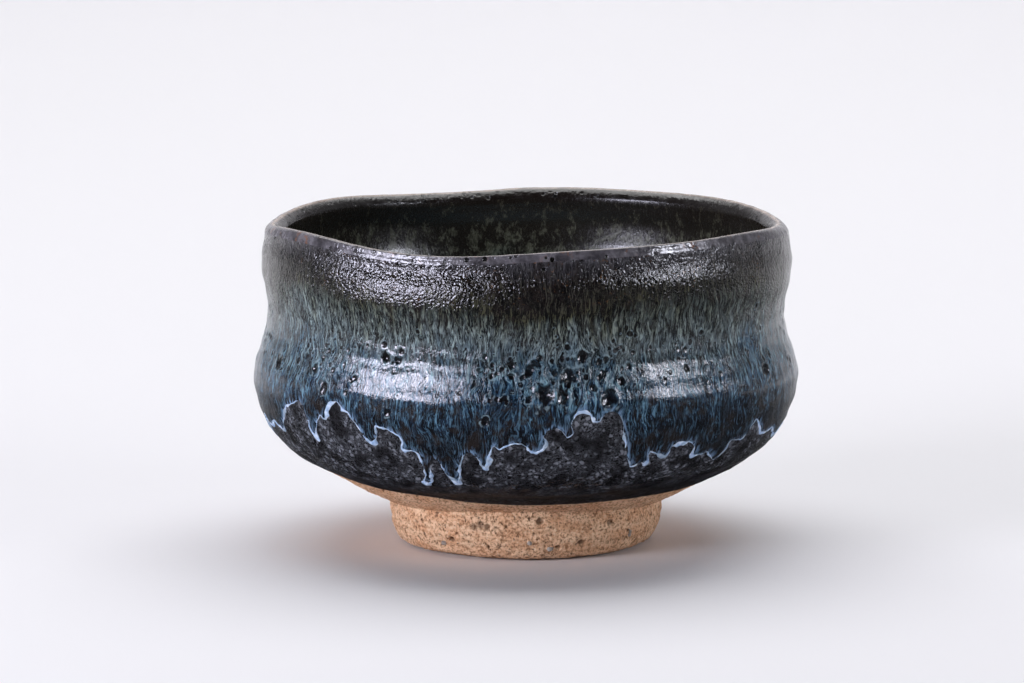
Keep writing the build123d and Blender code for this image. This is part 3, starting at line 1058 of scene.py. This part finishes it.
def grog_stone():
    """Pale grey feldspar."""
    look = Look("grog_stone")
    cloud = look.noise(look.place, 0.5, 3.0, 0.6)
    tone = look.mix(look.step(cloud, 0.3, 0.7), colour("8a8078"), colour("b9b2ab"))
    look.set(Base_Color=tone, Roughness=look.step(cloud, 0.3, 0.7, 0.7, 0.5),
             Normal=look.bump(cloud, 0.1))
    return look.material


# ---- the pieces -------------------------------------------------------------------------
COLUMNS = 1200
FINE = 0.36                # row spacing where the surface shows its detail
COARSE = 2.5
RUN_COAT = 0.5             # the running glaze inside stands this far above the black coat
EDGE_TOP = 40.0            # the running glaze covers all above this
WAIST_Z = 53.0             # the running glaze outside is two pieces that meet here
PIT_DEPTH = 0.4
LINE_DROP = 3.0            # the glaze line follows the higher trimming by this much at the front
LEFT_RISE = (-64, 24, 3.3)     # more bare clay at the left, as (angle, reach round, height)


def grain_relief(place):
    """Sand and tearing in bare clay that the trimming knife has passed over."""
    return 0.13 * layered_noise(place, 1.5, 51) + 0.10 * layered_noise(place, 0.8, 55, 2)


def pit_map(place):
    """Where grains were torn out of the clay, from 0 to 1."""
    torn = layered_noise(place, 1.7, 66, 2)
    return smooth_step(torn, 0.78, 1.1)


def line_lengths(grid, skin):
    """Length along the section to the glaze line, column by column."""
    at, reach, rise = LEFT_RISE
    left = rise * np.exp(-((grid.angle - at) / reach) ** 2)
    height = glaze_line(grid.angle) - LINE_DROP * ledge_share(grid.angle) + left
    return skin.outer_s(height)[None, :]


def clay_bowl(skin, material):
    low, high = skin.outer_s(GLAZE_LINE_Z - LINE_DROP), skin.outer_s(GLAZE_LINE_Z + 5)
    ledge = skin.s[np.argmax(skin.r > FOOT_HIGH[0] - 1.5)]
    lip = skin.top
    rows = spans((0.8, ledge, 1.2), (ledge, high, FINE), (high, lip - 4, COARSE),
                 (lip - 4, lip + 4, 0.8), (lip + 4, skin.s[-1] - 0.8, COARSE))
    grid = Grid(skin, rows, COLUMNS * 2 // 3)
    line = line_lengths(grid, skin)
    buried = smooth_step(grid.s - line, 0.8, 2)
    pits = pit_map(grid.flat) * (1 - buried)
    height = thrown_shape(grid, skin) - 0.2 * buried + grain_relief(grid.flat) * (1 - buried)
    height = height - PIT_DEPTH * pits * smooth_step(grid.s, low - 14, low - 12)
    ends = [[0, 0, skin.z[0]], [0, 0, skin.z[-1]]]
    points = np.concatenate([grid.at(height).reshape(-1, 3), ends])
    count = len(rows) * grid.columns
    fan = [pole(len(rows), grid.columns, count + end, bool(end)) for end in (0, 1)]
    faces = [quads(len(rows), grid.columns), np.concatenate(fan)]
    mesh = make_mesh("clay_body", points, faces)
    # The torn pits, for the painted shade that darkens them in the clay's material.
    pit_shade = np.concatenate([pits.ravel(), [0, 0]]).reshape(-1, 1)
    return make_piece("clay_body", ["clay_bowl"], mesh, material, {"pit_shade": pit_shade})


def foot_section():
    """The foot ring's section as a closed outline, read from the frame."""
    tree = frame_tree("foot_ring")

    def radius(height, start, way):
        found = []
        for turn in np.radians(np.arange(0, 360, 12)):
            out = Vector((sin(turn), -cos(turn), 0))
            hit = tree.ray_cast(out * start + Vector((0, 0, height)), out * way)[0]
            found.append(hit.xy.length)
        return float(np.median(found))

    top = FOOT_HIGH[2]
    outer = [(radius(z, 60, -1), z) for z in np.arange(1.6, top - 0.3, 0.5)]
    inner = [(radius(z, 0, 1), z) for z in np.arange(0.6, CLAY_LOW[2] - 0.2, 0.5)]
    lap = 0.8
    rise = [(outer[-1][0] - 0.1, top + 0.2), (outer[-1][0] - lap, top + lap)]
    sink = [(inner[-1][0] + lap, CLAY_LOW[2] + 2 * lap), (inner[-1][0], CLAY_LOW[2] + 0.4)]
    flat = [(inner[0][0] + 0.45, 0.08), (inner[0][0] + 0.9, 0.0), (outer[0][0] - 4.6, 0.0),
            (outer[0][0] - 3.0, 0.3), (outer[0][0] - 1.5, 0.6), (outer[0][0] - 0.5, 1.05)]
    return np.array([*inner[::-1], *flat, *outer, *rise, *sink])


CHIPS = ((10, 2.2, 0.7), (-58, 1.6, 0.4), (74, 1.8, 0.5), (141, 2.4, 0.7), (205, 1.6, 0.5),
         (-112, 2.0, 0.6))     # (angle, width, depth) of nicks in the foot's lower edge
GROOVE_Z = 6.0             # a line left by the trimming knife
TORN = ((-22, 6.9, 0.9), (-19, 7.1, 1.0), (-16.5, 6.8, 0.8), (6, 7.8, 0.8), (14, 3.4, 0.7),
        (-33, 4.4, 0.7), (24, 4.2, 0.8), (38, 7.4, 0.8))   # (angle, height, radius) of pits
STONE_PROUD = 0.35         # a stone's face stands this far out of the clay
FOOT_OUTSIDE = (28.5, 30.0)    # radius plus height, from the foot's inner wall to its outer one


def foot_relief(flat, r, angle, outside, stones):
    """Sandy clay with a knife line, chips in its lower edge and dents round its stones."""
    level = flat[..., 2]
    rest = smooth_step(level, 0.0, 0.7)
    height = grain_relief(flat) * (0.25 + 0.75 * rest)
    height = height + 0.25 * noise(flat, 14, 61) * rest
    height = height - 0.22 * outside * np.exp(-(((level - GROOVE_Z) / 0.45) ** 2))
    height = height + 0.12 * outside * np.exp(-(((level - GROOVE_Z + 0.9) / 0.5) ** 2))
    for at, width, depth in CHIPS:
        across = np.radians(turned(angle, at)) * FOOT_HIGH[0]
        nick = np.exp(-((across / width) ** 2)) * np.exp(-((level / 0.7) ** 2))
        height = height - depth * nick * outside
    for at, middle, radius in stones:
        across = np.radians(turned(angle, at)) * r
        q = np.hypot(across, level - middle) / radius
        height = height - 0.3 * outside * np.exp(-(((q - 1.1) / 0.3) ** 2))
    return height


def foot_pits(flat, r, angle):
    """Where grains were torn out of the foot, 0 where none were."""
    pits = pit_map(flat)
    for at, middle, radius in TORN:
        across = np.radians(turned(angle, at)) * r
        q = np.hypot(across, (flat[..., 2] - middle) * 1.5) / radius
        pits = np.maximum(pits, np.exp(-(q**4)) * (1.4 + 0.7 * noise(flat, 0.8, 68)))
    return pits


def foot_ring(material, stones):
    outline = foot_section()
    closed = np.concatenate([outline, outline[:1]])
    length = np.concatenate([[0], np.cumsum(np.hypot(*np.diff(closed, axis=0).T))])
    s = np.arange(0, length[-1] - FINE / 2, FINE)
    r, z = (np.interp(s, length, closed[:, i])[:, None] for i in (0, 1))
    along = np.stack([np.roll(r, -1) - np.roll(r, 1), np.roll(z, -1) - np.roll(z, 1)])
    along /= np.hypot(*along)
    nr, nz = along[1], -along[0]
    columns = COLUMNS * 2 // 3
    angle = (np.arange(columns) * 360 / columns - 180)[None, :]
    turn = np.radians(angle)
    flat = round_bowl(r, turn, z)
    outside = smooth_step(r + z, *FOOT_OUTSIDE)
    pits = foot_pits(flat, r, angle) * outside
    height = foot_relief(flat, r, angle, outside, stones) - 1.5 * PIT_DEPTH * pits
    rise = LEDGE_RISE * smooth_step(z, 4.0, FOOT_HIGH[2] - 0.5) * ledge_share(angle)
    level = np.maximum(z + height * nz, 0.0) + rise * outside
    wrap = quads(len(s) + 1, columns) % (len(s) * columns)
    mesh = make_mesh("foot_clay", round_bowl(r + height * nr, turn, level), [wrap])
    # The torn pits are passed on for the painted shade that darkens them.
    return make_piece("foot_clay", ["foot_ring"], mesh, material,
                      {"pit_shade": pits.reshape(-1, 1)})


def frame_stones():
    """(angle, height, radius) of each stone in the frame."""
    co, angle = frame_points("foot_stones")
    stones = []
    for group in groups(angle, 1.0):
        level = co[group, 2]
        middle = (angle[group].min() + angle[group].max()) / 2
        stones.append((middle, (level.min() + level.max()) / 2, (level.max() - level.min()) / 2))
    return stones


def foot_stones(material, stones):
    """Angular grains, each a ball cut by a few flats and worn flush by the knife."""
    ball = bmesh.new()
    bmesh.ops.create_icosphere(ball, subdivisions=4, radius=1.0)
    co = np.array([v.co for v in ball.verts])
    tri = np.array([[v.index for v in f.verts] for f in ball.faces])
    ball.free()
    section = foot_section()
    outer = section[np.argmax(section[:, 0]) - 14: np.argmax(section[:, 0]) + 8]
    points, faces = [], []
    for number, (at, level, radius) in enumerate(stones):
        draw = np.random.default_rng(100 + number)
        shape = co * draw.uniform(0.8, 1.15, 3)
        for _ in range(9):
            way = draw.normal(size=3)
            way /= np.linalg.norm(way)
            over = np.clip(shape @ way - draw.uniform(0.55, 0.85), 0, None)
            shape = shape - over[:, None] * way
        shape = shape * radius * (1 + 0.05 * noise(shape, 0.5, number)[:, None])
        skin_r = float(np.interp(level, outer[:, 1], outer[:, 0]))
        out = np.array([sin(radians(at)), -cos(radians(at)), 0])
        centre = out * (skin_r - 0.45 * radius) + np.array([0, 0, level])
        shape = shape + centre
        proud = np.clip(shape @ out - skin_r - STONE_PROUD, 0, None)
        points.append(shape - 0.8 * proud[:, None] * out)
        faces.append(tri + number * len(co))
    mesh = make_mesh("grog_stones", np.concatenate(points), [np.concatenate(faces)])
    return make_piece("grog_stones", ["foot_stones"], mesh, material)


def line_wander(grid, skin):
    """Signed distance above the line where the glaze stops on the clay."""
    place = grid.flat
    wave = 0.5 * noise(place, 17, 71) + 0.25 * noise(place, 3.0, 72) + 0.12 * noise(place, 1.1, 73)
    return grid.s - line_lengths(grid, skin) - wave


def black_outside(skin, material):
    low, full = skin.outer_s(GLAZE_LINE_Z - LINE_DROP) - 1.6, skin.outer_s(EDGE_TOP + 2)
    rows = spans((low, full, FINE), (full, skin.outer_s(LIP_LOW[2]), COARSE))
    grid = Grid(skin, rows, COLUMNS)
    edge = line_wander(grid, skin)
    coat = BASE_COAT * (1.2 * (1 - np.exp(-np.clip(edge, 0, None) / 0.5))) + np.clip(edge, -0.5, 0)
    place = grid.flat
    leather = 0.10 * layered_noise(place, 3.2, 81) + 0.07 * noise(place, 1.5, 84)
    leather = leather * smooth_step(edge, 0.3, 3)
    covered = smooth_step(grid.s, full - 1.5, full)
    height = thrown_shape(grid, skin) + coat + leather * (1 - covered) - 0.2 * covered
    faces = quads(len(rows), grid.columns)
    hidden = (edge < -0.4).ravel()[faces].all(1)
    mesh = make_mesh("black_glaze_outside", *packed(grid.at(height), faces[~hidden]))
    return make_piece("black_glaze_outside", ["base_glaze_outside"], mesh, material,
                      packed_values(faces[~hidden], {"edge": edge}))


def packed(points, faces):
    """Only the points that some face uses, and the faces renumbered to match."""
    points = points.reshape(-1, 3)
    used, renumbered = np.unique(faces, return_inverse=True)
    return points[used], [renumbered.reshape(faces.shape)]


def packed_values(faces, layers):
    """Attribute layers cut down to the points that some face uses."""
    used = np.unique(faces)
    flat = {}
    for key, values in layers.items():
        wide = values.ndim == 3
        flat[key] = (values.reshape(-1, 3) if wide else values.reshape(-1, 1))[used]
    return flat


def running_height(grid, skin, edge, relief):
    """The running glaze's surface above the clay."""
    over = np.clip(edge, 0, None)
    coat = 0.30 * (1 - np.exp(-over / 0.7)) + 0.2 * (1 - np.exp(-over / 5))
    coat = coat + np.clip(edge, -0.6, 0)
    place = grid.flat
    upper = smooth_step(grid.z, 60, 66)
    peel = (0.02 + 0.02 * upper) * noise(place, 1.4, 91)
    drawn = 0.05 * noise(place * (1, 1, 0.3), 1.3, 93) * (1 - upper)
    lumps = 0.12 * layered_noise(place, 6.5, 94, 2)
    worked = (peel + drawn + lumps + relief) * smooth_step(edge, 0, 1.2)
    return thrown_shape(grid, skin) + BASE_COAT * 1.1 + coat + worked


def running_outside(skin, curve, material):
    """The outside's running glaze in two pieces that meet at the waist."""
    foot, waist = curve[:, 1].min() - 1, skin.outer_s(WAIST_Z)
    top = skin.outer_s(LIP_LOW[2])
    pieces = []
    for name, low, high in (("running_glaze_belly", foot, waist),
                            ("running_glaze_shoulder", waist, top)):
        grid = Grid(skin, np.linspace(low, high, int((high - low) / FINE) + 1), COLUMNS)
        edge, _ = edge_field(grid, curve)
        relief, near, push = craters(grid, skin)
        height = running_height(grid, skin, edge, relief)
        faces = quads(len(grid.rows), grid.columns)
        faces = faces[~(edge < -0.45).ravel()[faces].all(1)]
        mesh = make_mesh(name, *packed(grid.at(height), faces))
        layers = {"edge": edge, "near": near, "thin": thin_shift(grid), "flow": flow(grid, push)}
        pieces.append(make_piece(name, ["running_glaze_outside"], mesh, material,
                                 packed_values(faces, layers)))
    return pieces


def lip_roll(skin, material):
    low, high = skin.outer_s(LIP_LOW[2]), skin.inner_s(LIP_LOW[2])
    grid = Grid(skin, np.linspace(low, high, int((high - low) / 0.3) + 1), COLUMNS)
    place = grid.flat
    from_low, from_high = grid.s - low, high - grid.s
    start = running_height(grid, skin, np.full(grid.s.shape, 9.0), 0 * grid.s)
    inner = thrown_shape(grid, skin) + BASE_COAT
    share = smooth_step(grid.s, low, (low + high) / 2)
    height = start * (1 - share) + inner * share
    away = smooth_step(np.minimum(from_low, from_high), 0, 1)
    height = height + 0.05 * noise(place, 2.0, 95) * away
    # Where the painted highlight runs as a pale line along the lip's crest.
    crest = np.exp(-(((grid.s - skin.top - 0.1) / 0.42) ** 2))
    inward = smooth_step(grid.s, skin.top - 0.3, skin.top + 0.9)
    mesh = make_mesh("lip_roll", grid.at(height), [quads(len(grid.rows), grid.columns)])
    return make_piece("lip_roll", ["lip_glaze"], mesh, material,
                      {"crest": crest.reshape(-1, 1), "inward": inward.reshape(-1, 1)})


def inside_coats(skin, material):
    """The black coat under the lip and the running glaze down to the well's middle."""
    top, meet = skin.inner_s(LIP_LOW[2]), skin.inner_s(INNER_RUN_HIGH[2] - 1)
    end = skin.s[-1] - 0.6
    upper = Grid(skin, np.linspace(top, meet, int((meet - top) / 0.5) + 1), COLUMNS)
    height = thrown_shape(upper, skin) + BASE_COAT
    mesh = make_mesh("black_glaze_inside", upper.at(height), [quads(len(upper.rows), COLUMNS)])
    make_piece("black_glaze_inside", ["base_glaze_inside"], mesh, material)
    lower = Grid(skin, spans((meet, end, 0.6)), COLUMNS // 2)
    place = lower.flat
    coat = RUN_COAT * smooth_step(lower.s, meet, meet + 8)
    ripple = 0.07 * layered_noise(place * (1, 1, 0.5), 3.0, 97)
    ripple = ripple * smooth_step(lower.s, meet, meet + 3)
    height = thrown_shape(lower, skin) + BASE_COAT + coat + ripple
    centre = [[0, 0, skin.z[-1] + BASE_COAT + RUN_COAT]]
    points = np.concatenate([lower.at(height).reshape(-1, 3), centre])
    rows, columns = lower.s.shape
    faces = [quads(rows, columns), pole(rows, columns, rows * columns, True)]
    mesh = make_mesh("running_glaze_well", points, faces)
    make_piece("running_glaze_well", ["running_glaze_inside"], mesh, material)


BEAD_FINE = 0.17           # row spacing of the thin beads
BEAD_HEIGHT = 0.30         # times a bead's half width plus a half


def drip_beads(skin, curve, material):
    """The pale beads that stand along the running glaze's lower edge."""
    low, high = curve[:, 1].min() - 2, curve[:, 1].max() + 2
    grid = Grid(skin, np.arange(low, high, BEAD_FINE), 2 * COLUMNS)
    edge, half = edge_field(grid, curve)
    over = np.clip(edge, 0, None)
    ground = thrown_shape(grid, skin) + 1.15 * BASE_COAT + 0.3 * (1 - np.exp(-over / 0.7))
    q = (edge - 0.1) / np.maximum(half, 0.05)
    height = ground + BEAD_HEIGHT * (0.5 + half) * (1 - np.clip(q, -2, 2) ** 2)
    faces = quads(len(grid.rows), grid.columns)
    kept = ((np.abs(q) < 1.25) & (half > 0.06)).ravel()[faces].any(1)
    faces = faces[kept]
    mesh = make_mesh("drip_beads", *packed(grid.at(height), faces))
    return make_piece("drip_beads", ["blue_drips"], mesh, material)


# ---- stage, in metres ---------------------------------------------------------------------
FLOOR_FRONT, FLOOR_BACK = -1.6, 1.5
FLAT_MIDDLE = 0.4          # the floor has a strip of its own this far before and behind
SWEEP_R = 0.7
SWEEP_CUTS = 17
WALL_HEIGHT = 2.2
STAGE_WIDTH = 6.0
CARD_FRONT, CARD_BACK = -1.35, 0.35
CARD_FADE = -0.03          # the card thins out from here to its back edge
CARD_WIDTH = 1.3
CARD_LIFT = 0.001


def stage_sheet(name, points, faces, material):
    """A thin sheet from points in metres."""
    mesh = bpy.data.meshes.new(name)
    mesh.from_pydata(points, [], faces)
    mesh.shade_smooth()
    mesh.materials.append(material)
    return new_object(name, mesh)


def paper():
    look = Look("paper")
    look.set(Base_Color=colour("eae9ed"), Roughness=0.95)
    return look.material


def card_black():
    """Black that lets more and more through towards the card's back edge."""
    look = Look("black_card")
    depth = look.node("ShaderNodeSeparateXYZ", Vector=look.place).outputs["Y"]
    cover = look.step(depth, CARD_FADE / MM, CARD_BACK / MM, 1.0, 0.0)
    look.set(Base_Color=(0.01, 0.01, 0.01, 1), Roughness=1.0, Alpha=cover)
    return look.material


def make_card():
    """A black card on the floor under and in front of the bowl. Only reflections show it, and
    it casts no shadow: it keeps the pale paper out of the front of the glaze."""
    half = CARD_WIDTH / 2
    points = [(x, y, CARD_LIFT) for x, y in ((-half, CARD_FRONT), (half, CARD_FRONT),
                                             (half, CARD_BACK), (-half, CARD_BACK))]
    card = stage_sheet("black_card", points, [(0, 1, 2, 3)], card_black())
    card.visible_camera = False
    card.visible_diffuse = False
    card.visible_shadow = False


def make_stage():
    """A sheet of pale paper that sweeps up behind the bowl."""
    bend = np.linspace(0, pi / 2, SWEEP_CUTS)
    corner = [(FLOOR_BACK + SWEEP_R * sin(t), SWEEP_R * (1 - cos(t))) for t in bend]
    floor = [(y, 0.0) for y in (FLOOR_FRONT, -FLAT_MIDDLE, FLAT_MIDDLE)]
    section = [*floor, *corner, (FLOOR_BACK + SWEEP_R, WALL_HEIGHT)]
    half = STAGE_WIDTH / 2
    points = [(x, y, z) for y, z in section for x in (-half, half)]
    faces = [(2 * i, 2 * i + 1, 2 * i + 3, 2 * i + 2) for i in range(len(section) - 1)]
    sweep = stage_sheet("paper_sweep", points, faces, paper())


# ---- lights, in metres --------------------------------------------------------------------
BOWL_MIDDLE = Vector((0, 0, 0.045))
BACK_FLOOR = Vector((0, 2.4, 0))
ROOM_TURN = (-0.1, 0.5)    # the room turns from dark in front to pale behind between these
ROOM_STRENGTH = (0.01, 0.36)
ROOM_TINT = (0.93, 0.94, 1.0, 1)


def softbox(name, azimuth, elevation, distance, size, power, tint=(1, 1, 1), aim=BOWL_MIDDLE):
    """A rectangular light; azimuth 0 is in front of the bowl, +90 to its right."""
    data = bpy.data.lights.new(name, "AREA")
    data.shape = "RECTANGLE"
    data.size, data.size_y = size
    data.energy = power
    data.color = tint
    light = new_object(name, data)
    a, e = radians(azimuth), radians(elevation)
    light.location = BOWL_MIDDLE + distance * Vector((sin(a) * cos(e), -cos(a) * cos(e), sin(e)))
    light.rotation_euler = (aim - light.location).to_track_quat("-Z", "Y").to_euler()
    return light


def make_lights():
    """Glints are the highlights on the glaze alone; fills light the surfaces without one."""
    glints = (softbox("left_softbox", -56, 20.5, 1.1, (0.50, 0.31), 10.6, (0.82, 0.82, 1.0)),
              softbox("right_softbox", 69, 24, 1.2, (0.15, 0.36), 5.2, (0.86, 0.88, 1.0)))
    fills = (softbox("left_fill", -54, 12, 1.1, (0.5, 0.25), 8.6, (0.93, 0.92, 1.0)),
             softbox("right_fill", 62, 16, 1.2, (0.7, 0.4), 3.4, (0.96, 0.97, 1.0)))
    for light in glints:
        light.visible_diffuse = False
    for light in fills:
        light.visible_glossy = False
    softbox("overhead_softbox", 180, 72, 1.5, (2.0, 1.4), 25)
    softbox("backdrop_softbox", 180, 36, 2.0, (3.0, 0.8), 14, aim=BACK_FLOOR)
    bpy.context.scene.world = studio_world()
    bpy.context.scene.view_settings.view_transform = "Standard"


def studio_world():
    """A pale room behind and above, and a dark one in front."""
    world = bpy.data.worlds.new("studio")
    world.use_nodes = True
    tree = world.node_tree
    place = tree.nodes.new("ShaderNodeTexCoord")
    split = tree.nodes.new("ShaderNodeSeparateXYZ")
    ramp = tree.nodes.new("ShaderNodeMapRange")
    tree.links.new(place.outputs["Generated"], split.inputs[0])
    tree.links.new(split.outputs["Y"], ramp.inputs["Value"])
    for socket, value in zip(ramp.inputs[1:5], (*ROOM_TURN, *ROOM_STRENGTH)):
        socket.default_value = value
    background = tree.nodes["Background"]
    background.inputs["Color"].default_value = ROOM_TINT
    tree.links.new(ramp.outputs[0], background.inputs["Strength"])
    return world


# ---- the scene ----------------------------------------------------------------------------
make_camera()
skin = Skin(Lip())
runs = frame_runs()
curve = edge_curve(skin, runs)
stones = frame_stones()
clay, running = bare_clay(), running_glaze()
clay_bowl(skin, clay)
foot_ring(clay, stones)
foot_stones(grog_stone(), stones)
black_outside(skin, black_glaze())
running_outside(skin, curve, running)
lip_roll(skin, lip_glaze())
inside_coats(skin, inner_glaze())
drip_beads(skin, curve, pooled_glaze())
make_stage()
make_card()
make_lights()
